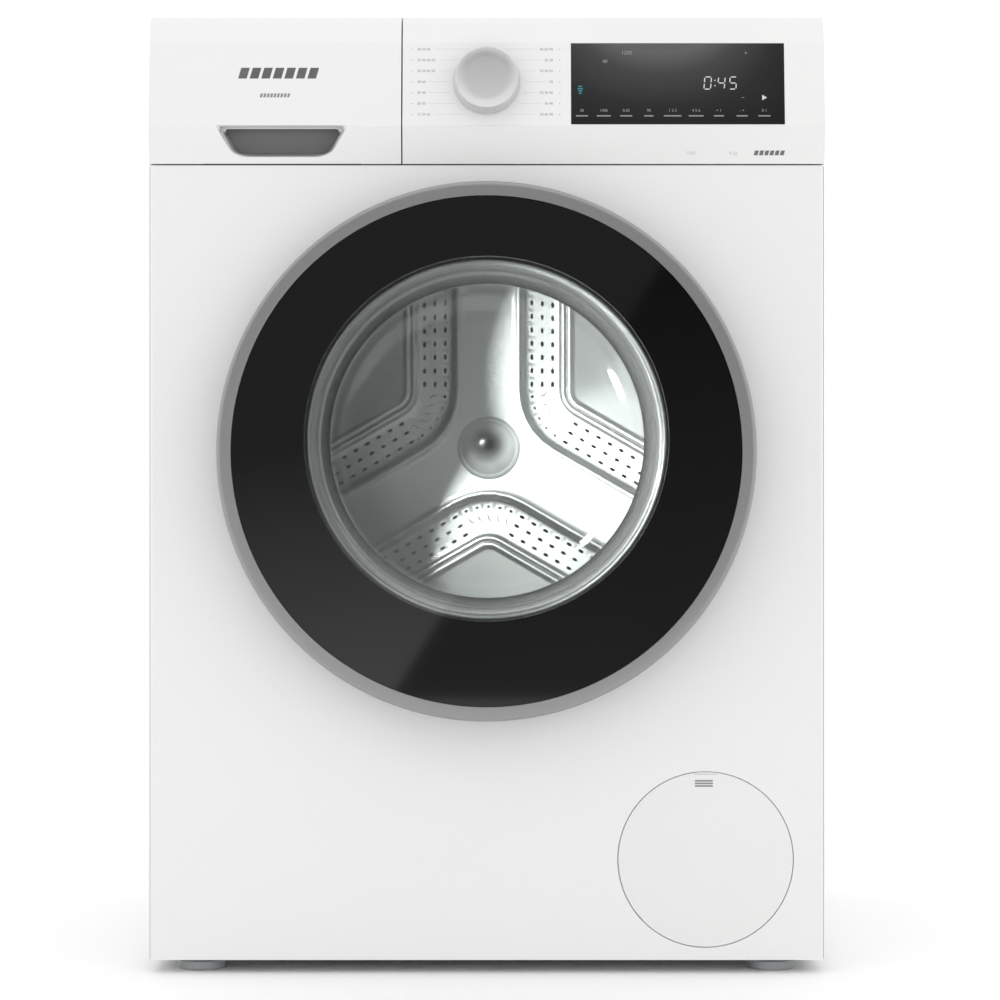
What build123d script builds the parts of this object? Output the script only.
"""A front-load washing machine, built from its separate pieces.

Frame: +Z up, the front faces -Y, +X is to the right of a person facing the front.
The origin is on the floor, under the centre of the whole machine with its door closed.
All lengths are millimetres.
"""

import math
import os

from build123d import *

os.makedirs("parts", exist_ok=True)

# Driving dimensions of the case
WIDTH = 598.0
HEIGHT = 848.0
DEPTH = 590.0
DOOR_PROUD = 43.0
SHEET = 1.0
FRONT = -(DEPTH + DOOR_PROUD) / 2 + DOOR_PROUD
REAR = FRONT + DEPTH
SIDE_START = FRONT + 18.6
PANEL_BOTTOM = 12.0
PANEL_TOP = 714.4
FASCIA_BOTTOM = 715.6
WORKTOP_BOTTOM = 822.0
FLANGE = 12.0
REAR_PANEL = REAR - 12.5

# The control panel leans back between two creases
CREASE_LOW = (FRONT - 6.0, 749.3)
CREASE_HIGH = (FRONT + 4.0, 823.5)
FASCIA_WALL = 2.5
DRAWER_RIGHT = -75.6
FASCIA_LEFT = -74.4
KNOB_HEIGHT = 16.0
KNOB_RADIUS = 29.6
KNOB_RISE = 1.6

# The drum axis. The window, bowl and gasket share it, and the door's rings sit a little lower
AXIS_HEIGHT = 472.0
RING_HEIGHT = 461.0
DOOR_RADIUS = 235.5
BLACK_RADIUS = 222.2
WINDOW_RADIUS = 158.8
APERTURE = 176.0
DISH_RADIUS = 224.0
DISH_FLOOR = 208.0
DISH_DEPTH = 10.0
BOWL_DEPTH = 93.0
DRUM_RADIUS = 245.0
DRUM_FRONT = -185.0
DRUM_BACK = 143.0
DRUM_MOUTH = 160.0
TUB_INNER = 257.0
TUB_OUTER = 261.0
TUB_FRONT = -202.0
TUB_SPLIT = -20.0
TUB_REAR = 160.0
PULLEY_Y = 214.0
PULLEY_RADIUS = 145.0

# Door hinge axis, upright, in front of the front panel
HINGE_X = -218.0
HINGE_Y = FRONT - 25.0
HINGE_POCKET = 56.0

# Pump hatch and pump
HATCH_X = 193.4
HATCH_Z = 100.8
HATCH_RADIUS = 77.35
HATCH_HOOK_Z = HATCH_Z - 68.0

# Motor, dampers, springs, feet
MOTOR_X = -30.0
MOTOR_Z = 108.0
MOTOR_PULLEY_RADIUS = 11.0
DAMPER_X = 190.0
DAMPER_Y = (-70.0, 115.0)
SPRING_X = 240.0
SPRING_Y = 60.0
FOOT_X = 255.0
FOOT_Y = (FRONT + 38.0, REAR - 50.0)
BASE_BOTTOM = 14.0

ROUND = Plane.XY.offset(AXIS_HEIGHT)
LEAN = math.degrees(
    math.atan2(CREASE_HIGH[0] - CREASE_LOW[0], CREASE_HIGH[1] - CREASE_LOW[1])
)
FACET_MIDDLE = (
    (CREASE_LOW[0] + CREASE_HIGH[0]) / 2,
    (CREASE_LOW[1] + CREASE_HIGH[1]) / 2,
)
FACET = Plane(
    origin=(0, *FACET_MIDDLE),
    x_dir=(1, 0, 0),
    z_dir=(0, -math.cos(math.radians(LEAN)), math.sin(math.radians(LEAN))),
)
KNOB_SEAT = Plane(
    origin=FACET.from_local_coords((0, KNOB_RISE, 0)), x_dir=(1, 0, 0), z_dir=FACET.z_dir
)


def upright_wall(y, x=0.0, z=0.0):
    """A plane across the machine whose sketches are extruded towards the rear.

    Its own y points down, so the outlines drawn on it are measured downwards.
    """
    return Plane(origin=(x, y, z), x_dir=(1, 0, 0), z_dir=(0, 1, 0))


def save(builder, name):
    """Labels a finished piece and writes it as a STEP file."""
    builder.part.label = name
    export_step(builder.part, f"parts/{name}.step")
    print(name, round(builder.part.volume), "mm3", len(builder.part.solids()), "solids")


def outline(points, plane=ROUND):
    """The face inside a closed outline of straight sides, on a plane."""
    with BuildSketch(plane) as face:
        with BuildLine():
            Polyline(*points, close=True)
        make_face()
    return face.sketch


def turned(points, mode=Mode.ADD, height=AXIS_HEIGHT):
    """Turns a closed (radius, y) outline about the front-to-back line at a height."""
    face = outline(points, Plane.XY.offset(height))
    revolve(face, axis=Axis((0, 0, height), (0, 1, 0)), mode=mode)


def band(points, thickness):
    """A closed outline of even thickness along an open run of points."""
    half = thickness / 2
    sides = ([], [])
    for i, (x, y) in enumerate(points):
        before = points[max(i - 1, 0)]
        after = points[min(i + 1, len(points) - 1)]
        first = math.atan2(y - before[1], x - before[0]) if i else None
        last = math.atan2(after[1] - y, after[0] - x) if i < len(points) - 1 else None
        first = last if first is None else first
        last = first if last is None else last
        turn = (last - first + math.pi) % (2 * math.pi) - math.pi
        normal = first + turn / 2 + math.pi / 2
        reach = half / math.cos(turn / 2)
        for side, sign in zip(sides, (1, -1)):
            side.append(
                (x + sign * reach * math.cos(normal), y + sign * reach * math.sin(normal))
            )
    return sides[0] + sides[1][::-1]


def block(low, high, mode=Mode.ADD):
    """A rectangular block between two corners."""
    size = [b - a for a, b in zip(low, high)]
    middle = [(a + b) / 2 for a, b in zip(low, high)]
    with Locations(tuple(middle)):
        return Box(*size, mode=mode)


def along_y(x, z, start, end, radius, mode=Mode.ADD):
    """A round bar from one y to another."""
    with Locations(Location((x, (start + end) / 2, z), (90, 0, 0))):
        return Cylinder(radius, end - start, mode=mode)


def upright(x, y, low, high, radius, mode=Mode.ADD):
    """A round upright bar from one z to another."""
    with Locations((x, y, (low + high) / 2)):
        return Cylinder(radius, high - low, mode=mode)


def hose(points, radius, bore):
    """A hose along straight runs joined by tangent arcs."""
    radii = []
    for a, b, c in zip(points, points[1:], points[2:]):
        into, out = Vector(*b) - Vector(*a), Vector(*c) - Vector(*b)
        turn = math.radians(into.get_angle(out))
        radii.append(0.45 * min(into.length, out.length) / math.tan(turn / 2))
    with BuildLine() as path:
        FilletPolyline(*points, radius=radii)
    with BuildSketch(Plane(origin=path.line @ 0, z_dir=path.line % 0)) as section:
        Circle(radius)
        Circle(bore, mode=Mode.SUBTRACT)
    sweep(section.sketch, path=path.line)
    print("hose", round(path.wire().length), "mm, least bend", round(min(radii)), "mm")


# ---------------------------------------------------------------- case

with BuildPart() as front_panel:
    tray = block(
        (-WIDTH / 2, FRONT, PANEL_BOTTOM), (WIDTH / 2, FRONT + 18, PANEL_TOP)
    )
    fillet(tray.edges().filter_by(Axis.Z).group_by(Axis.Y)[0], radius=4)
    block(
        (-WIDTH / 2 + SHEET, FRONT + SHEET, PANEL_BOTTOM + SHEET),
        (WIDTH / 2 - SHEET, FRONT + 19, PANEL_TOP - SHEET),
        mode=Mode.SUBTRACT,
    )
    along_y(0, RING_HEIGHT, FRONT - 1, FRONT + 2, DISH_RADIUS + 1, Mode.SUBTRACT)
    dish = [
        (DISH_RADIUS + 2, FRONT),
        (DISH_RADIUS, FRONT),
        (DISH_FLOOR, FRONT + DISH_DEPTH),
        (0, FRONT + DISH_DEPTH),
        (0, FRONT + DISH_DEPTH + SHEET),
        (DISH_FLOOR - 0.6, FRONT + DISH_DEPTH + SHEET),
        (DISH_RADIUS - 0.6, FRONT + SHEET),
        (DISH_RADIUS + 2, FRONT + SHEET),
    ]
    turned(dish, height=RING_HEIGHT)
    along_y(0, AXIS_HEIGHT, FRONT + 5, FRONT + 15, APERTURE, Mode.SUBTRACT)
    along_y(HATCH_X, HATCH_Z, FRONT - 1, FRONT + 2, HATCH_RADIUS + 0.7, Mode.SUBTRACT)
    block(
        (186.5, FRONT + 5, RING_HEIGHT - 20),
        (204, FRONT + 15, RING_HEIGHT + 20),
        mode=Mode.SUBTRACT,
    )
save(front_panel, "front_panel")


def side_panel(side):
    """A side wall with folded edges and a shallow pressed field, on one side (-1 or 1)."""
    outer = side * WIDTH / 2
    inner = outer - side * FLANGE
    low, high = min(outer, inner), max(outer, inner)
    skin = side * SHEET
    with BuildPart() as panel:
        block((low, SIDE_START, PANEL_BOTTOM), (high, REAR, WORKTOP_BOTTOM))
        block(
            (min(outer - skin, inner - skin), SIDE_START + SHEET, PANEL_BOTTOM + SHEET),
            (max(outer - skin, inner - skin), REAR - SHEET, WORKTOP_BOTTOM - SHEET),
            mode=Mode.SUBTRACT,
        )
        middle = (outer, (SIDE_START + REAR) / 2, (PANEL_BOTTOM + WORKTOP_BOTTOM) / 2)
        face = Plane(origin=middle, x_dir=(0, 1, 0), z_dir=(-side, 0, 0))
        with BuildSketch(face) as pad:
            RectangleRounded(452, 652, 42)
        extrude(pad.sketch, amount=2.2)
        with BuildSketch(face) as pressed:
            RectangleRounded(450, 650, 41)
        extrude(pressed.sketch, amount=1.2, mode=Mode.SUBTRACT)
    return panel


save(side_panel(-1), "left_side_panel")
save(side_panel(1), "right_side_panel")

TRANSPORT_HOLES = [(-190, 230), (190, 230), (-190, 670), (190, 670)]
VALVE = (-232, 772)
DRAIN = (236, 690)
GLAND = (236, 772)
SERVICE = (330, 400, 450)

with BuildPart() as rear_panel:
    block((-297.8, REAR_PANEL, 15), (297.8, REAR_PANEL + SHEET, 821))
    for x in (-265, -228, 228, 265):
        block((x - 5, REAR_PANEL + SHEET, 100), (x + 5, REAR_PANEL + SHEET + 1.5, 640))
    for z in (70, 690):
        block((-160, REAR_PANEL + SHEET, z - 5), (160, REAR_PANEL + SHEET + 1.5, z + 5))
    with BuildSketch(upright_wall(REAR_PANEL - 1, z=SERVICE[2])) as hole:
        RectangleRounded(SERVICE[0] - 40, SERVICE[1] - 40, 30)
    extrude(hole.sketch, amount=4, mode=Mode.SUBTRACT)
    for x, z in TRANSPORT_HOLES:
        along_y(x, z, REAR_PANEL - 1, REAR_PANEL + 5, 16, Mode.SUBTRACT)
    for (x, z), radius in ((VALVE, 15.5), (DRAIN, 14.2), (GLAND, 9.2)):
        along_y(x, z, REAR_PANEL - 1, REAR_PANEL + 5, radius, Mode.SUBTRACT)
save(rear_panel, "rear_panel")

with BuildPart() as rear_service_cover:
    on_panel = upright_wall(REAR_PANEL + SHEET, z=SERVICE[2])
    with BuildSketch(on_panel) as rim:
        RectangleRounded(SERVICE[0], SERVICE[1], 40)
    extrude(rim.sketch, amount=SHEET)
    with BuildSketch(on_panel) as swell:
        RectangleRounded(SERVICE[0] - 50, SERVICE[1] - 50, 25)
    extrude(swell.sketch, amount=8)
    with BuildSketch(on_panel) as inside:
        RectangleRounded(SERVICE[0] - 52, SERVICE[1] - 52, 24)
    extrude(inside.sketch, amount=7, mode=Mode.SUBTRACT)
    fillet(rear_service_cover.faces().sort_by(Axis.Y)[-1].edges(), radius=0.9)
save(rear_service_cover, "rear_service_cover")

with BuildPart() as worktop:
    slab = block((-WIDTH / 2, SIDE_START, WORKTOP_BOTTOM), (WIDTH / 2, REAR, HEIGHT))
    fillet(slab.edges().group_by(Axis.Z)[-1].filter_by(Axis.Y), radius=4)
    block(
        (-WIDTH / 2 + 3, SIDE_START + 3, WORKTOP_BOTTOM - 1),
        (WIDTH / 2 - 3, REAR - 3, HEIGHT - 18),
        mode=Mode.SUBTRACT,
    )
save(worktop, "worktop")

with BuildPart() as base_tray:
    block((-286.5, FRONT + 3.5, BASE_BOTTOM), (286.5, REAR_PANEL - 1, 50))
    block((-283.5, FRONT + 6.5, BASE_BOTTOM + 3), (283.5, REAR_PANEL - 4, 51), mode=Mode.SUBTRACT)
    block(
        (HATCH_X - 80, FRONT + 1, 19.5), (HATCH_X + 80, FRONT + 7, 51), mode=Mode.SUBTRACT
    )
    for x in (-FOOT_X, FOOT_X):
        for y in FOOT_Y:
            upright(x, y, BASE_BOTTOM + 2, 40, 15)
            upright(x, y, BASE_BOTTOM - 1, 52, 5.05, Mode.SUBTRACT)
    for x in (-DAMPER_X, DAMPER_X):
        for y in DAMPER_Y:
            block((x - 22, y - 22, BASE_BOTTOM + 2), (x + 22, y + 22, 27.8))
    for x in (-120, 60):
        block((x - 2, FRONT + 4, BASE_BOTTOM + 2), (x + 2, REAR_PANEL - 3, 30))
save(base_tray, "base_tray")

for side, column in (("left", -FOOT_X), ("right", FOOT_X)):
    for end, row in zip(("front", "rear"), FOOT_Y):
        with BuildPart() as foot:
            pad = upright(column, row, 0, 8, 21)
            fillet(pad.edges().filter_by(GeomType.CIRCLE), radius=1.5)
            upright(column, row, 7, 46, 4.95)
        save(foot, f"foot_{end}_{side}")

with BuildPart() as foot_lock_nuts:
    for x in (-FOOT_X, FOOT_X):
        for y in FOOT_Y:
            with BuildSketch(Plane.XY.offset(8.8)) as hexagon:
                with Locations((x, y)):
                    RegularPolygon(8.5, 6, major_radius=False)
                    Circle(5.05, mode=Mode.SUBTRACT)
            extrude(hexagon.sketch, amount=5.1)
save(foot_lock_nuts, "foot_lock_nuts")

SPRING_TOP = 776.0
SPRING_FOOT = 632.0

with BuildPart() as frame_braces:
    block((-285, -254, 696), (285, -252.5, 711))
    block((-285, -254, 696), (285, -238.5, 697.5))
    block((-285, 284, 800), (285, 302, 801.5))
    block((-285, 284, 800), (285, 285.5, 818))
    for side in (-1, 1):
        low, high = sorted((side * 297.8, side * (SPRING_X - 20)))
        block((low, SPRING_Y - 24, 788), (high, SPRING_Y + 24, 791))
        low, high = sorted((side * 297.8, side * 294.8))
        block((low, SPRING_Y - 24, 745), (high, SPRING_Y + 24, 791))
        for y in (SPRING_Y - 20, SPRING_Y + 20):
            low, high = sorted((side * (SPRING_X - 8), side * (SPRING_X + 8)))
            block((low, y - 1.5, SPRING_TOP - 10), (high, y + 1.5, 789))
        along_y(side * SPRING_X, SPRING_TOP - 2, SPRING_Y - 21, SPRING_Y + 21, 4)
save(frame_braces, "frame_braces")

with BuildPart() as transport_hole_caps:
    for x, z in TRANSPORT_HOLES:
        along_y(x, z, REAR_PANEL + SHEET, REAR_PANEL + SHEET + 3, 21)
        along_y(x, z, REAR_PANEL - 8, REAR_PANEL + SHEET + 1, 15.7)
        along_y(x, z, REAR_PANEL - 9, REAR_PANEL - 1, 13, Mode.SUBTRACT)
save(transport_hole_caps, "transport_hole_caps")

# ------------------------------------------------------- control panel

FASCIA_PROFILE = [
    (FRONT - 1.0, FASCIA_BOTTOM),
    (CREASE_LOW[0] - 0.8, CREASE_LOW[1] - 0.8),
    CREASE_LOW,
    CREASE_HIGH,
    (FRONT + 9.5, 841.5),
    (FRONT + 13.0, 846.5),
    (FRONT + 18.0, HEIGHT),
    (FRONT + 18.0, FASCIA_BOTTOM),
]
FASCIA_INSIDE = [
    (FRONT + 2.0, FASCIA_BOTTOM + FASCIA_WALL),
    (CREASE_LOW[0] + 2.4, CREASE_LOW[1]),
    (CREASE_HIGH[0] + 2.6, CREASE_HIGH[1] - 0.5),
    (FRONT + 12.0, 840.5),
    (FRONT + 15.5, HEIGHT - FASCIA_WALL),
    (FRONT + 19.0, HEIGHT - FASCIA_WALL),
    (FRONT + 19.0, FASCIA_BOTTOM + FASCIA_WALL),
]


def fascia_bar(left, right, profile):
    """Extrudes a (y, z) profile of the control panel from one x to another."""
    return extrude(
        outline(profile, Plane(origin=(left, 0, 0), x_dir=(0, 1, 0), z_dir=(1, 0, 0))),
        amount=right - left,
        mode=Mode.PRIVATE,
    )


DISPLAY_SIZE = (188.3, 73.4)
DISPLAY_X = 168.7
GLASS_THICK = 1.6

with BuildPart() as control_fascia:
    add(fascia_bar(FASCIA_LEFT, WIDTH / 2 - 0.5, FASCIA_PROFILE))
    add(
        fascia_bar(FASCIA_LEFT + FASCIA_WALL, WIDTH / 2 - 3, FASCIA_INSIDE),
        mode=Mode.SUBTRACT,
    )
    with BuildSketch(FACET) as glass_seat:
        with Locations((DISPLAY_X, 0)):
            Rectangle(DISPLAY_SIZE[0] + 0.4, DISPLAY_SIZE[1] + 0.4)
    extrude(glass_seat.sketch, amount=-GLASS_THICK, mode=Mode.SUBTRACT)
    with BuildSketch(FACET) as light_window:
        with Locations((DISPLAY_X, 0)):
            Rectangle(DISPLAY_SIZE[0] - 12, DISPLAY_SIZE[1] - 12)
        with Locations((0, KNOB_RISE)):
            Circle(4.2)
    extrude(light_window.sketch, amount=-8, mode=Mode.SUBTRACT)
save(control_fascia, "control_fascia")

with BuildPart() as display_window:
    with BuildSketch(FACET.offset(-GLASS_THICK)) as glass_face:
        with Locations((DISPLAY_X, 0)):
            RectangleRounded(*DISPLAY_SIZE, 0.8)
    extrude(glass_face.sketch, amount=GLASS_THICK + 0.15)
save(display_window, "display_window")

ENCODER_DEPTH = 6.0

with BuildPart() as control_board:
    with BuildSketch(FACET.offset(-16)) as board:
        with Locations((112, 0)):
            Rectangle(350, 54)
    extrude(board.sketch, amount=2)
    with BuildSketch(KNOB_SEAT.offset(-14.5)) as encoder:
        Rectangle(24, 24)
    extrude(encoder.sketch, amount=ENCODER_DEPTH + 1.5)
    with BuildSketch(FACET.offset(-14.5)) as light_box:
        with Locations((DISPLAY_X, 0)):
            Rectangle(DISPLAY_SIZE[0] - 16, 44)
    extrude(light_box.sketch, amount=9)
    with BuildSketch(KNOB_SEAT.offset(-13)) as socket:
        Circle(3.05)
    extrude(socket.sketch, amount=12, mode=Mode.SUBTRACT)
save(control_board, "control_board")

with BuildPart() as programme_knob:
    side_on = Plane(origin=KNOB_SEAT.origin, x_dir=(1, 0, 0), z_dir=KNOB_SEAT.y_dir * -1)
    knob_half = [
        (0, -12.5),
        (3, -12.5),
        (3, 0.5),
        (KNOB_RADIUS - 0.8, 0.5),
        (KNOB_RADIUS, 1.4),
        (KNOB_RADIUS - 0.5, 5),
        (KNOB_RADIUS - 2.0, KNOB_HEIGHT - 0.8),
        (KNOB_RADIUS - 2.8, KNOB_HEIGHT),
        (KNOB_RADIUS - 3.6, KNOB_HEIGHT - 0.4),
        (0, KNOB_HEIGHT - 1.4),
    ]
    revolve(outline(knob_half, side_on), axis=Axis(KNOB_SEAT.origin, KNOB_SEAT.z_dir))
save(programme_knob, "programme_knob")

# ------------------------------------------------- detergent dispenser

DRAWER_LEFT = -WIDTH / 2 + 0.5
TRAY_X = (-283.0, -92.0)
TRAY_Y = (FRONT + 18.0, FRONT + 250.0)
TRAY_Z = (741.0, 803.0)
TRAY_WALL = 2.0
PARTITIONS = (-214.0, -166.0)
SIPHON_X = sum(PARTITIONS) / 2
SIPHON_Y = TRAY_Y[1] - 22.0
HOUSING_REAR = FRONT + 268.0
SPOUT = (-190.0, -46.0)
RECESS_X = -181.0

with BuildPart() as drawer_front:
    recess_corners = [(-59, 0), (59, 0), (43, 29.5), (-43, 29.5)]
    with BuildSketch(upright_wall(FRONT - 7, RECESS_X, CREASE_LOW[1])) as recess:
        with BuildLine():
            FilletPolyline(*recess_corners, radius=(1, 1, 16, 16), close=True)
        make_face()
    add(fascia_bar(DRAWER_LEFT, DRAWER_RIGHT, FASCIA_PROFILE))
    add(
        fascia_bar(DRAWER_LEFT + FASCIA_WALL, DRAWER_RIGHT - FASCIA_WALL, FASCIA_INSIDE),
        mode=Mode.SUBTRACT,
    )
    block((RECESS_X - 64, FRONT + 1, FASCIA_BOTTOM + 1), (RECESS_X + 64, FRONT + 18, 750))
    block((RECESS_X - 54, FRONT + 1, 749), (RECESS_X + 54, FRONT + 18, 765))
    extrude(recess.sketch, amount=20, taper=18, mode=Mode.SUBTRACT)
    block((RECESS_X - 50, FRONT + 1.2, 742), (RECESS_X + 50, FRONT + 13, 762), mode=Mode.SUBTRACT)
    block((DRAWER_LEFT + 6, FRONT + 15.5, 740), (DRAWER_RIGHT - 6, FRONT + 18, 810))
save(drawer_front, "drawer_front")

with BuildPart() as drawer_tray:
    block((TRAY_X[0], TRAY_Y[0], TRAY_Z[0]), (TRAY_X[1], TRAY_Y[1], TRAY_Z[1]))
    walls = [TRAY_X[0], *PARTITIONS, TRAY_X[1]]
    for left, right in zip(walls, walls[1:]):
        block(
            (left + TRAY_WALL, TRAY_Y[0] + TRAY_WALL + 1, TRAY_Z[0] + TRAY_WALL + 0.5),
            (right - TRAY_WALL, TRAY_Y[1] - TRAY_WALL, TRAY_Z[1] + 1),
            mode=Mode.SUBTRACT,
        )
    for left, right in ((walls[0], walls[1]), (walls[2], walls[3])):
        middle = (left + right) / 2
        block(
            (middle - 14, TRAY_Y[1] - 3, TRAY_Z[0] + 3),
            (middle + 14, TRAY_Y[1] + 1, TRAY_Z[0] + 17),
            mode=Mode.SUBTRACT,
        )
    upright(SIPHON_X, SIPHON_Y, TRAY_Z[0] + 1, TRAY_Z[0] + 34, 5)
    upright(SIPHON_X, SIPHON_Y, TRAY_Z[0] - 1, TRAY_Z[0] + 36, 3.4, Mode.SUBTRACT)
save(drawer_tray, "drawer_tray")

with BuildPart() as siphon_cap:
    block(
        (PARTITIONS[0] + 2.4, TRAY_Y[1] - 62, TRAY_Z[1] - 20),
        (PARTITIONS[1] - 2.4, TRAY_Y[1] - 2.4, TRAY_Z[1] - 17),
    )
    block(
        (SIPHON_X - 11, TRAY_Y[1] - 58, TRAY_Z[1] - 18),
        (SIPHON_X + 11, TRAY_Y[1] - 50, TRAY_Z[1] - 6),
    )
    upright(SIPHON_X, SIPHON_Y, TRAY_Z[0] + 6, TRAY_Z[1] - 18, 8.2)
    upright(SIPHON_X, SIPHON_Y, TRAY_Z[0] + 5, TRAY_Z[1] - 24, 6.2, Mode.SUBTRACT)
save(siphon_cap, "siphon_cap")

with BuildPart() as dispenser_housing:
    block((TRAY_X[0] - 5, FRONT + 20, TRAY_Z[0] - 5), (TRAY_X[1] + 5, HOUSING_REAR, 815))
    block(
        (TRAY_X[0] - 2.5, FRONT + 19, TRAY_Z[0] - 2),
        (TRAY_X[1] + 2.5, HOUSING_REAR - 3, TRAY_Z[1] + 3),
        mode=Mode.SUBTRACT,
    )
    upright(*SPOUT, 715.2, TRAY_Z[0] - 3, 17)
    upright(*SPOUT, 715, TRAY_Z[0] - 1, 14, Mode.SUBTRACT)
    along_y(VALVE[0], 790, HOUSING_REAR - 2, HOUSING_REAR + 22, 6)
    along_y(VALVE[0], 790, HOUSING_REAR - 4, HOUSING_REAR + 23, 4, Mode.SUBTRACT)
save(dispenser_housing, "dispenser_housing")

with BuildPart() as water_inlet_valve:
    along_y(VALVE[0], VALVE[1], REAR_PANEL - 10, REAR, 13.2)
    along_y(VALVE[0], VALVE[1], REAR_PANEL - 4, REAR + 1, 9, Mode.SUBTRACT)
    along_y(VALVE[0], VALVE[1], REAR_PANEL - 9, REAR_PANEL - 0.1, 19)
    block(
        (VALVE[0] - 17, REAR_PANEL - 48, VALVE[1] - 16),
        (VALVE[0] + 17, REAR_PANEL - 8, VALVE[1] + 16),
    )
    upright(VALVE[0], REAR_PANEL - 30, VALVE[1] - 44, VALVE[1] - 15, 15)
    along_y(VALVE[0], VALVE[1], REAR_PANEL - 70, REAR_PANEL - 46, 6)
save(water_inlet_valve, "water_inlet_valve")

# ------------------------------------------------------- drain circuit

PUMP_FRONT = FRONT + 22.0
PUMP_REAR = -160.0
FILTER_RADIUS = 31.0
SUMP = (70.0, -150.0)
PUMP_INLET_Z = 116.0
OUTLET = (-182.0, 84.0)

with BuildPart() as drain_pump:
    along_y(HATCH_X, HATCH_Z, PUMP_FRONT, PUMP_REAR, 37)
    along_y(HATCH_X, HATCH_Z, PUMP_REAR - 2, -108, 28)
    along_y(HATCH_X, HATCH_Z, PUMP_FRONT - 1, PUMP_REAR - 6, FILTER_RADIUS + 0.4, Mode.SUBTRACT)
    along_y(HATCH_X, HATCH_Z, PUMP_REAR - 7, -140, 20, Mode.SUBTRACT)
    for x in (HATCH_X - 28, HATCH_X + 28):
        block((x - 4, PUMP_FRONT + 20, 17.2), (x + 4, PUMP_REAR - 10, HATCH_Z - 20))
    along_y(HATCH_X, HATCH_Z, PUMP_FRONT - 1, PUMP_REAR - 6, FILTER_RADIUS + 0.4, Mode.SUBTRACT)
    with Locations(Location((HATCH_X - 42, SUMP[1] - 40, PUMP_INLET_Z), (0, 90, 0))):
        Cylinder(15, 24)
    with Locations(Location((HATCH_X - 40, SUMP[1] - 40, PUMP_INLET_Z), (0, 90, 0))):
        Cylinder(12, 34, mode=Mode.SUBTRACT)
    with Locations(Location((HATCH_X + 38, OUTLET[0], OUTLET[1]), (0, 90, 0))):
        Cylinder(10, 16)
save(drain_pump, "drain_pump")

with BuildPart() as pump_filter:
    along_y(HATCH_X, HATCH_Z, PUMP_FRONT - 6, PUMP_FRONT + 10, FILTER_RADIUS)
    along_y(HATCH_X, HATCH_Z, PUMP_FRONT - 6.5, PUMP_FRONT - 0.5, 35.5)
    block(
        (HATCH_X - 28, PUMP_FRONT - 18, HATCH_Z - 5.5), (HATCH_X + 28, PUMP_FRONT - 4, HATCH_Z + 5.5)
    )
    along_y(HATCH_X, HATCH_Z, PUMP_FRONT + 9, PUMP_REAR - 10, 24)
    along_y(HATCH_X, HATCH_Z, PUMP_FRONT + 14, PUMP_REAR - 9, 21, Mode.SUBTRACT)
    for angle in range(0, 180, 45):
        with Locations(Location((HATCH_X, -200, HATCH_Z), (0, angle, 0))):
            Box(60, 36, 12, mode=Mode.SUBTRACT)
save(pump_filter, "pump_filter")

with BuildPart() as sump_hose:
    hose(
        [
            (SUMP[0], SUMP[1], 186),
            (SUMP[0], SUMP[1], 142),
            (SUMP[0] + 24, SUMP[1] - 34, PUMP_INLET_Z + 6),
            (SUMP[0] + 58, SUMP[1] - 40, PUMP_INLET_Z),
            (HATCH_X - 39, SUMP[1] - 40, PUMP_INLET_Z),
        ],
        18.5,
        15.3,
    )
save(sump_hose, "sump_hose")

with BuildPart() as drain_hose:
    hose(
        [
            (HATCH_X + 46.1, *OUTLET),
            (266, *OUTLET),
            (281, -138, 81),
            (278, -74, 74),
            (281, 0, 70),
            (278, 72, 73),
            (280, 144, 77),
            (275, 206, 94),
            (270, 250, 136),
            (265, 266, 196),
            (256, 264, 262),
            (251, 269, 336),
            (243, 266, 412),
            (241, 269, 490),
            (236, 264, 566),
            (237, 260, 630),
            (DRAIN[0], 258, DRAIN[1]),
            (DRAIN[0], REAR_PANEL - 17, DRAIN[1]),
        ],
        11,
        8,
    )
    along_y(*DRAIN, REAR_PANEL - 17, REAR, 10)
    along_y(*DRAIN, REAR_PANEL - 6, REAR_PANEL, 19)
    along_y(*DRAIN, REAR_PANEL - 6, REAR_PANEL + SHEET + 1.5, 13.8)
    along_y(*DRAIN, REAR_PANEL - 18, REAR + 1, 7.5, Mode.SUBTRACT)
save(drain_hose, "drain_hose")

with BuildPart() as mains_cable_gland:
    along_y(*GLAND, REAR_PANEL - 8, REAR_PANEL, 13)
    along_y(*GLAND, REAR_PANEL - 8, REAR, 9)
    along_y(*GLAND, REAR_PANEL - 9, REAR + 1, 4, Mode.SUBTRACT)
    block(
        (GLAND[0] - 16, REAR_PANEL - 26, GLAND[1] - 26),
        (GLAND[0] + 16, REAR_PANEL - 8, GLAND[1] + 14),
    )
save(mains_cable_gland, "mains_cable_gland")

# --------------------------------------------------------- pump hatch

with BuildPart() as hatch_frame:
    along_y(HATCH_X, HATCH_Z, FRONT + SHEET, FRONT + 3, HATCH_RADIUS + 7)
    along_y(HATCH_X, HATCH_Z, FRONT + SHEET, FRONT + 4, HATCH_RADIUS + 3)
    along_y(HATCH_X, HATCH_Z, FRONT + 0.5, FRONT + 2.7, HATCH_RADIUS + 1.6, Mode.SUBTRACT)
    along_y(HATCH_X, HATCH_Z, FRONT + 0.5, FRONT + 5, HATCH_RADIUS - 2, Mode.SUBTRACT)
save(hatch_frame, "hatch_frame")

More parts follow.
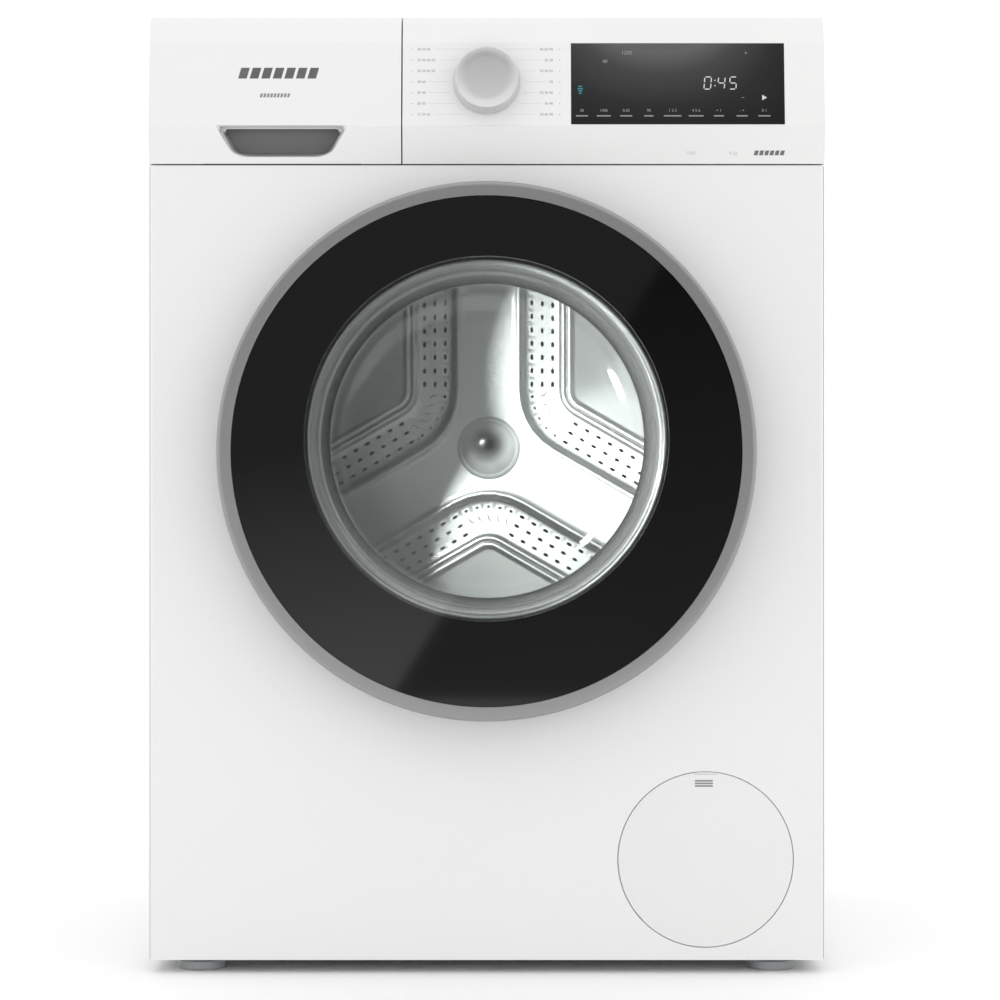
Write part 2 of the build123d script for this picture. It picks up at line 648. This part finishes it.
with BuildPart() as pump_hatch:
    lid = along_y(HATCH_X, HATCH_Z, FRONT, FRONT + 2.5, HATCH_RADIUS)
    fillet(lid.edges().filter_by(GeomType.CIRCLE).sort_by(Axis.Y)[0], radius=0.8)
    block(
        (HATCH_X - 9.5, FRONT - 1, HATCH_Z + HATCH_RADIUS - 2.6),
        (HATCH_X + 9.5, FRONT + 1.4, HATCH_Z + HATCH_RADIUS + 1),
        mode=Mode.SUBTRACT,
    )
    for x in (-20, 20):
        block(
            (HATCH_X + x - 3, FRONT + 2, HATCH_HOOK_Z - 3),
            (HATCH_X + x + 3, FRONT + 9, HATCH_HOOK_Z),
        )
    block((HATCH_X - 6, FRONT + 2, HATCH_Z + 58), (HATCH_X + 6, FRONT + 9, HATCH_Z + 60.5))
save(pump_hatch, "pump_hatch")

# --------------------------------------------------------------- door

RIM_BACK = FRONT - 10.0
COVER_BACK = FRONT - 39.5
HANDLE_X = 203.0
HANDLE_HALF = 49.0


def pocket(low, high, half, mode=Mode.ADD):
    """A block that reaches an equal way above and below the middle of the door's rings."""
    return block(
        (low[0], low[1], RING_HEIGHT - half), (high[0], high[1], RING_HEIGHT + half), mode
    )


with BuildPart() as door_outer_ring:
    rim = [
        (BLACK_RADIUS + 0.3, FRONT - DOOR_PROUD),
        (DOOR_RADIUS - 3.0, FRONT - DOOR_PROUD),
        (DOOR_RADIUS, FRONT - 39.6),
        (DOOR_RADIUS, FRONT - 30),
        (DOOR_RADIUS - 5.5, RIM_BACK),
        (DOOR_RADIUS - 8.5, RIM_BACK),
        (DOOR_RADIUS - 3.2, FRONT - 30),
        (DOOR_RADIUS - 3.2, FRONT - 37),
        (DOOR_RADIUS - 5.5, COVER_BACK),
        (BLACK_RADIUS + 0.3, COVER_BACK),
    ]
    turned(rim, height=RING_HEIGHT)
    pocket((-240, FRONT - 34), (-170, FRONT), HINGE_POCKET + 1, Mode.SUBTRACT)
save(door_outer_ring, "door_outer_ring")

with BuildPart() as door_black_ring:
    along_y(0, RING_HEIGHT, FRONT - 42, COVER_BACK, BLACK_RADIUS)
    along_y(0, AXIS_HEIGHT, FRONT - 43, FRONT - 39, WINDOW_RADIUS + 0.1, Mode.SUBTRACT)
save(door_black_ring, "door_black_ring")

with BuildPart() as door_window:
    along_y(0, AXIS_HEIGHT, FRONT - 42, COVER_BACK, WINDOW_RADIUS)
save(door_window, "door_window")

# The hinge's recess on the left of the door and the hand's recess on its right, with their walls
DOOR_CUPS = [
    ((-226, FRONT - 36), (-180, FRONT + 3), HINGE_POCKET + 2.5),
    ((HANDLE_X - 2.5, FRONT - 36), (226, FRONT + 3), HANDLE_HALF + 2.5),
]

with BuildPart() as door_inner_ring:
    shell = [
        (225.5, FRONT - 14),
        (225.5, FRONT - 8),
        (206, FRONT - 1),
        (203, FRONT + 4),
        (0, FRONT + 4),
        (0, FRONT + 1),
        (200.5, FRONT + 1),
        (203.5, FRONT - 3.5),
        (222.5, FRONT - 10.3),
        (222.5, FRONT - 14),
    ]
    turned(shell, height=RING_HEIGHT)
    along_y(0, AXIS_HEIGHT, FRONT - 1, FRONT + 5, 170, Mode.SUBTRACT)
    seat = [
        (166, FRONT + 4),
        (166, FRONT - 0.7),
        (176.4, FRONT - 0.7),
        (176.4, FRONT - 6.3),
        (168, FRONT - 6.3),
        (168, FRONT - 9),
        (180, FRONT - 9),
        (180, COVER_BACK + 0.5),
        (183, COVER_BACK + 0.5),
        (183, FRONT + 4),
    ]
    turned(seat)
    for radius, depth in ((225.4, FRONT - 1.5), (203.5, FRONT + 2)):
        with BuildSketch(upright_wall(COVER_BACK + 0.5, z=RING_HEIGHT)) as between:
            Circle(radius)
            with Locations((0, RING_HEIGHT - AXIS_HEIGHT)):
                Circle(180.5, mode=Mode.SUBTRACT)
        room = extrude(between.sketch, amount=depth - COVER_BACK - 0.5, mode=Mode.PRIVATE)
        for cup in DOOR_CUPS:
            add(pocket(*cup, Mode.PRIVATE).intersect(room))
    pocket((-240, FRONT - 33.5), (-183, FRONT + 6), HINGE_POCKET, Mode.SUBTRACT)
    pocket((HANDLE_X, FRONT - 33.5), (240, FRONT + 6), HANDLE_HALF, Mode.SUBTRACT)
save(door_inner_ring, "door_inner_ring")

# Radius and depth behind the front panel, from the flange to the middle of the nose
BOWL = [(163, -1), (161.2, 8), (160, 20), (157.4, 40), (153.6, 60), (149.5, 75), (143, 85)]
BOWL += [(134, 91), (0, BOWL_DEPTH)]
BOWL_INSIDE = [(0, BOWL_DEPTH - 4), (132, 87.2), (140, 82), (145.6, 73), (149.6, 59)]
BOWL_INSIDE += [(153.4, 39.5), (156, 19.6), (157.4, -6)]

with BuildPart() as door_glass_bowl:
    outside = [(r, FRONT + d) for r, d in BOWL]
    inside = [(r, FRONT + d) for r, d in BOWL_INSIDE]
    turned([(176, FRONT - 6), (176, FRONT - 1), *outside, *inside])
save(door_glass_bowl, "door_glass_bowl")

with BuildPart() as hinge_bracket:
    for low, high in ((-52, -40), (40, 52)):
        height = (RING_HEIGHT + low, RING_HEIGHT + high)
        upright(HINGE_X, HINGE_Y, *height, 7.5)
        block((HINGE_X, HINGE_Y - 3.5, height[0]), (-193, HINGE_Y + 3.5, height[1]))
        block((-200, HINGE_Y - 3.5, height[0]), (-193, FRONT + 8, height[1]))
        upright(HINGE_X, HINGE_Y, height[0] - 1, height[1] + 1, 4.05, Mode.SUBTRACT)
    pocket((-200.5, FRONT + 6.7), (-189, FRONT + 9.9), 52)
save(hinge_bracket, "hinge_bracket")

with BuildPart() as hinge_pin:
    upright(HINGE_X, HINGE_Y, RING_HEIGHT - 54, RING_HEIGHT + 53, 4.0)
    upright(HINGE_X, HINGE_Y, RING_HEIGHT + 52.2, RING_HEIGHT + 54, 6.0)
save(hinge_pin, "hinge_pin")

with BuildPart() as door_hinge_arm:
    upright(HINGE_X, HINGE_Y, RING_HEIGHT - 38.5, RING_HEIGHT + 38.5, 7.5)
    pocket((HINGE_X, HINGE_Y - 7.5), (-186, HINGE_Y - 2.5), 38.5)
    pocket((-188, HINGE_Y - 7.5), (-183.1, FRONT - 4), 38.5)
    upright(HINGE_X, HINGE_Y, RING_HEIGHT - 40, RING_HEIGHT + 40, 4.05, Mode.SUBTRACT)
save(door_hinge_arm, "door_hinge_arm")

with BuildPart() as door_latch_hook:
    pocket((186, FRONT + 4.05), (199.5, FRONT + 6.4), 16)
    pocket((188.5, FRONT + 5), (194, FRONT + 30), 7)
    pocket((188.5, FRONT + 23), (199, FRONT + 30), 7)
    chamfer(door_latch_hook.edges().filter_by(Axis.Z).sort_by(Axis.Y)[-1:], length=4)
save(door_latch_hook, "door_latch_hook")

with BuildPart() as door_lock:
    pocket((184.5, FRONT + 11.2), (226, FRONT + 38), 45)
    pocket((186.7, FRONT + 10), (208, FRONT + 35.5), 20, Mode.SUBTRACT)
save(door_lock, "door_lock")

# ------------------------------------------------------------- gasket

with BuildPart() as door_gasket:
    turned(
        [
            (171, FRONT + 6.6),
            (183, FRONT + 6.6),
            (183, FRONT + 9.8),
            (175.7, FRONT + 9.8),
            (175.7, FRONT + 11.2),
            (181, FRONT + 11.2),
            (181, FRONT + 16),
            (171, FRONT + 16),
        ]
    )
    turned(band([(172, FRONT + 9), (166, FRONT + 14), (161.9, FRONT + 20.5)], 2.6))
    folds = [
        (175, FRONT + 14),
        (178, FRONT + 24),
        (177, FRONT + 32),
        (167, FRONT + 37),
        (166, FRONT + 43),
        (170, FRONT + 48),
        (184.2, FRONT + 53),
        (184.2, TUB_FRONT - 1.8),
    ]
    turned(band(folds, 3.2))
save(door_gasket, "door_gasket")

# ---------------------------------------------------------------- tub


def ear(x, y, low, high, half):
    """A lug that hangs under or stands beside the tub."""
    return block((x - half, y - half, low), (x + half, y + half, high))


with BuildPart() as tub_front_shell:
    turned(
        [
            (178.2, -216),
            (182, -216),
            (182, TUB_FRONT),
            (TUB_OUTER, TUB_FRONT),
            (TUB_OUTER, TUB_SPLIT - 3),
            (268, TUB_SPLIT - 3),
            (268, TUB_SPLIT - 0.2),
            (TUB_INNER, TUB_SPLIT - 0.2),
            (TUB_INNER, TUB_FRONT + 4),
            (178.2, TUB_FRONT + 4),
        ]
    )
    for y in (-150, -90):
        turned([(TUB_OUTER - 1, y), (265, y), (265, y + 3), (TUB_OUTER - 1, y + 3)])
    for x in (-DAMPER_X, DAMPER_X):
        ear(x, DAMPER_Y[0], 262, 316, 15)
    upright(*SUMP, 168, 236, 15)
    upright(*SPOUT, 640, 684, 14)
    along_y(0, AXIS_HEIGHT, TUB_FRONT + 4, TUB_SPLIT + 1, TUB_INNER, Mode.SUBTRACT)
    upright(*SUMP, 160, 245, 12, Mode.SUBTRACT)
    upright(*SPOUT, 600, 690, 11, Mode.SUBTRACT)
save(tub_front_shell, "tub_front_shell")

# Each bearing's front and rear, bore and outer radius
BEARINGS = [(167.0, 183.0, 15.0, 31.0), (190.0, 205.0, 12.5, 26.0)]

with BuildPart() as tub_rear_shell:
    turned(
        [
            (31, TUB_REAR),
            (31, 183),
            (22, 183),
            (22, 190),
            (26, 190),
            (26, 208),
            (42, 208),
            (48, TUB_REAR + 5),
            (TUB_OUTER, TUB_REAR + 5),
            (TUB_OUTER, TUB_SPLIT + 3),
            (268, TUB_SPLIT + 3),
            (268, TUB_SPLIT),
            (TUB_INNER, TUB_SPLIT),
            (TUB_INNER, TUB_REAR),
        ]
    )
    for y in (40, 100):
        turned([(TUB_OUTER - 1, y), (265, y), (265, y + 3), (TUB_OUTER - 1, y + 3)])
    for step in range(12):
        with Locations(Location((0, TUB_REAR + 14, AXIS_HEIGHT), (0, 30 * step, 0))):
            with Locations((150, 0, 0)):
                Box(218, 20, 3)
    for x in (-DAMPER_X, DAMPER_X):
        ear(x, DAMPER_Y[1], 262, 316, 15)
    for x in (MOTOR_X - 50, MOTOR_X + 50):
        block((x - 9, 60, MOTOR_Z + 67), (x + 9, 150, 238))
    for side in (-1, 1):
        low, high = sorted((side * 190, side * (SPRING_X + 10)))
        for y in (SPRING_Y - 20, SPRING_Y + 20):
            block((low, y - 2, SPRING_FOOT - 12), (high, y + 2, SPRING_FOOT + 8))
        along_y(side * SPRING_X, SPRING_FOOT + 2, SPRING_Y - 21, SPRING_Y + 21, 4)
    along_y(0, AXIS_HEIGHT, TUB_SPLIT - 1, TUB_REAR, TUB_INNER, Mode.SUBTRACT)
save(tub_rear_shell, "tub_rear_shell")

with BuildPart() as front_counterweight:
    turned([(196, -232), (256, -232), (260, -228), (260, -202.1), (196, -202.1)])
    block((-110, -240, 190), (110, -190, AXIS_HEIGHT - 170), mode=Mode.SUBTRACT)
save(front_counterweight, "front_counterweight")

with BuildPart() as upper_counterweight:
    block((-165, 22, 640), (165, 158, 786))
    along_y(0, AXIS_HEIGHT, 0, 200, 268.2, Mode.SUBTRACT)
    fillet(upper_counterweight.edges().filter_by(Axis.Y).group_by(Axis.Z)[-1], radius=14)
save(upper_counterweight, "upper_counterweight")

with BuildPart() as shaft_bearings_and_seal:
    for start, end, inner, outer in BEARINGS:
        turned([(inner, start), (outer, start), (outer, end), (inner, end)])
    turned([(15.1, 161), (31, 161), (31, 166), (18, 166), (15.1, 163)])
save(shaft_bearings_and_seal, "shaft_bearings_and_seal")

HEATER_RADIUS = 251.0

with BuildPart() as heating_element:
    legs = []
    for degrees in (262.5, 277.5):
        angle = math.radians(degrees)
        x = HEATER_RADIUS * math.cos(angle)
        z = AXIS_HEIGHT + HEATER_RADIUS * math.sin(angle)
        along_y(x, z, TUB_FRONT + 4.1, 110, 3.4)
        legs.append((x, z))
    across = Plane(origin=(legs[0][0], 107, legs[0][1]), x_dir=(0, 1, 0), z_dir=(1, 0, 0))
    with BuildSketch(across) as bend:
        Circle(3.4)
    extrude(bend.sketch, amount=legs[1][0] - legs[0][0])
save(heating_element, "heating_element")

with BuildPart() as drive_motor:
    along_y(MOTOR_X, MOTOR_Z, 45, 195, 66)
    along_y(MOTOR_X, MOTOR_Z, 36, 204, 30)
    for x in (MOTOR_X - 50, MOTOR_X + 50):
        block((x - 8, 70, MOTOR_Z + 20), (x + 8, 140, MOTOR_Z + 66.8))
    for step in range(16):
        with Locations(Location((MOTOR_X, 120, MOTOR_Z), (0, 22.5 * step, 0))):
            with Locations((66, 0, 0)):
                Box(6, 110, 3)
    along_y(MOTOR_X, MOTOR_Z, 100, 206, 7.05, Mode.SUBTRACT)
save(drive_motor, "drive_motor")

with BuildPart() as motor_pulley:
    along_y(MOTOR_X, MOTOR_Z, 110, 232, 7.0)
    along_y(MOTOR_X, MOTOR_Z, PULLEY_Y + 2, PULLEY_Y + 18, MOTOR_PULLEY_RADIUS)
save(motor_pulley, "motor_pulley")

with BuildPart() as drive_belt:
    belt_plane = upright_wall(PULLEY_Y + 3, z=AXIS_HEIGHT)
    for gap, mode in ((4.0, Mode.ADD), (0.35, Mode.SUBTRACT)):
        with BuildSketch(belt_plane) as loop:
            Circle(PULLEY_RADIUS + gap)
            with Locations((MOTOR_X, AXIS_HEIGHT - MOTOR_Z)):
                Circle(MOTOR_PULLEY_RADIUS + gap)
            make_hull()
        extrude(loop.sketch, amount=14, mode=mode)
save(drive_belt, "drive_belt")

# ---------------------------------------------------- springs, dampers

COIL_RADIUS = 12.0
WIRE = 1.9

with BuildPart() as suspension_springs:
    for side in (-1, 1):
        eye_x = side * SPRING_X
        coil_low = SPRING_FOOT + COIL_RADIUS - 3.9
        coil_high = SPRING_TOP - COIL_RADIUS + 3.9
        with BuildLine() as coil:
            Helix(8.0, coil_high - coil_low, COIL_RADIUS, center=(eye_x, SPRING_Y, coil_low))
        with BuildSketch(Plane(origin=coil.line @ 0, z_dir=coil.line % 0)) as strand:
            Circle(WIRE)
        sweep(strand.sketch, path=coil.line, is_frenet=True)
        for z, half in ((coil_high, 0), (coil_low, 180)):
            with BuildSketch(Plane(origin=(eye_x + COIL_RADIUS, SPRING_Y, z))) as wire:
                Circle(WIRE)
            turn = Axis((eye_x, SPRING_Y, z), (0, -1 if half == 0 else 1, 0))
            revolve(wire.sketch, axis=turn, revolution_arc=180)
save(suspension_springs, "suspension_springs")

with BuildPart() as damper_cylinders:
    for x in (-DAMPER_X, DAMPER_X):
        for y in DAMPER_Y:
            upright(x, y, 28, 168, 16)
            upright(x, y, 44, 170, 10.1, Mode.SUBTRACT)
            upright(x, y, 160, 168, 16)
            upright(x, y, 159, 169, 5.2, Mode.SUBTRACT)
save(damper_cylinders, "damper_cylinders")

with BuildPart() as damper_rods:
    for x in (-DAMPER_X, DAMPER_X):
        for y in DAMPER_Y:
            upright(x, y, 88, 261.8, 5)
            upright(x, y, 82, 110, 10)
            block((x - 12, y - 12, 240), (x + 12, y + 12, 261.8))
save(damper_rods, "damper_rods")

with BuildPart() as fill_hose:
    outer = [(17.0, 672), (17.0, 684)]
    for step in range(4):
        outer += [(22.5, 687 + 7 * step), (18.5, 690.5 + 7 * step)]
    outer += [(20.0, 715), (20.0, 728)]
    inner = [(14.3, 672), (14.3, 684)]
    inner += [(radius - 2.2, z) for radius, z in outer[2:-2]]
    inner += [(17.4, 715), (17.4, 728)]
    upright_half = Plane(origin=(*SPOUT, 0), x_dir=(1, 0, 0), z_dir=(0, -1, 0))
    revolve(outline(outer + inner[::-1], upright_half), axis=Axis((*SPOUT, 0), (0, 0, 1)))
save(fill_hose, "fill_hose")

# --------------------------------------------------------------- drum

MOUTH_LIP = 4.0

with BuildPart() as drum_shell:
    turned(
        [
            (DRUM_MOUTH, DRUM_FRONT + 7),
            (DRUM_MOUTH, DRUM_FRONT + 2),
            (DRUM_MOUTH + 3, DRUM_FRONT),
            (DRUM_RADIUS - 8, DRUM_FRONT),
            (DRUM_RADIUS, DRUM_FRONT + 8),
            (DRUM_RADIUS, DRUM_BACK + 2),
            (DRUM_RADIUS - 1, DRUM_BACK + 2),
            (DRUM_RADIUS - 1, DRUM_FRONT + 8.4),
            (DRUM_RADIUS - 8.4, DRUM_FRONT + 1),
            (DRUM_MOUTH + 3.4, DRUM_FRONT + 1),
            (DRUM_MOUTH + 1, DRUM_FRONT + 2.8),
            (DRUM_MOUTH + 1, DRUM_FRONT + 7),
        ]
    )
save(drum_shell, "drum_shell")

# The three arms of the drum's back, and the turns of the three paddles between them
ARMS = (90, 210, 330)
PADDLES = (30, 150, 270)

with BuildPart() as drum_back:
    along_y(0, AXIS_HEIGHT, DRUM_BACK, DRUM_BACK + 2, DRUM_RADIUS - 1.1)
    with BuildSketch(upright_wall(DRUM_BACK - 5, z=AXIS_HEIGHT)) as star:
        for angle in ARMS:
            with Locations(Location((0, 0), -angle)):
                with Locations((105, 0)):
                    Rectangle(210, 62)
        fillet(star.vertices().filter_by(lambda v: Vector(*v.to_tuple()).length < 150), radius=30)
        Circle(48)
    extrude(star.sketch, amount=6)
save(drum_back, "drum_back")

CAP_BACK = DRUM_BACK - 5.1
CAP_TOP = CAP_BACK - 13
CAP_RADIUS = 31.8

with BuildPart() as hub_cap:
    with BuildSketch(ROUND) as dome:
        with BuildLine():
            sides = [(0, CAP_TOP), (0, CAP_BACK), (CAP_RADIUS, CAP_BACK), (CAP_RADIUS, CAP_BACK - 3)]
            Polyline(*sides)
            rise = CAP_BACK - 3 - CAP_TOP
            sweep_radius = (CAP_RADIUS**2 + rise**2) / (2 * rise)
            drop = sweep_radius - math.sqrt(sweep_radius**2 - CAP_RADIUS**2 / 4)
            ThreePointArc(sides[3], (CAP_RADIUS / 2, CAP_TOP + drop), sides[0])
        make_face()
    revolve(dome.sketch, axis=Axis((0, 0, AXIS_HEIGHT), (0, 1, 0)))
save(hub_cap, "hub_cap")

# Each section's distance from the axis, width, length and corner radius
PADDLE_SECTIONS = [(DRUM_RADIUS - 5, 62, 270, 20), (DRUM_RADIUS - 50, 22, 200, 9)]

with BuildPart() as drum_paddles:
    for angle in PADDLES:
        turn = math.radians(angle)
        outward = (math.cos(turn), 0, math.sin(turn))
        sections = []
        for radius, wide, long, round_off in PADDLE_SECTIONS:
            plane = Plane(
                origin=(radius * outward[0], -15, AXIS_HEIGHT + radius * outward[2]),
                x_dir=(0, 1, 0),
                z_dir=(-outward[0], 0, -outward[2]),
            )
            with BuildSketch(plane) as section:
                RectangleRounded(long, wide, round_off)
            sections.append(section.sketch)
        loft(sections)
save(drum_paddles, "drum_paddles")

with BuildPart() as drum_spider:
    along_y(0, AXIS_HEIGHT, DRUM_BACK + 2.1, 157, 52)
    for angle in ARMS:
        with Locations(Location((0, DRUM_BACK + 8, AXIS_HEIGHT), (0, angle, 0))):
            with Locations((120, 0, 0)):
                Box(238, 11.6, 34)
    along_y(0, AXIS_HEIGHT, DRUM_BACK + 2.1, 184, 14.95)
    along_y(0, AXIS_HEIGHT, 183, 212, 12.45)
    along_y(0, AXIS_HEIGHT, 211, 244, 10)
save(drum_spider, "drum_spider")

with BuildPart() as drum_pulley:
    for inner, outer, depth in ((130, PULLEY_RADIUS, 20), (10.05, 30, 22)):
        turned(
            [
                (inner, PULLEY_Y),
                (outer, PULLEY_Y),
                (outer, PULLEY_Y + depth),
                (inner, PULLEY_Y + depth),
            ]
        )
    for step in range(6):
        with Locations(Location((0, PULLEY_Y + 10, AXIS_HEIGHT), (0, 60 * step, 0))):
            with Locations((80, 0, 0)):
                Box(108, 8, 24)
save(drum_pulley, "drum_pulley")
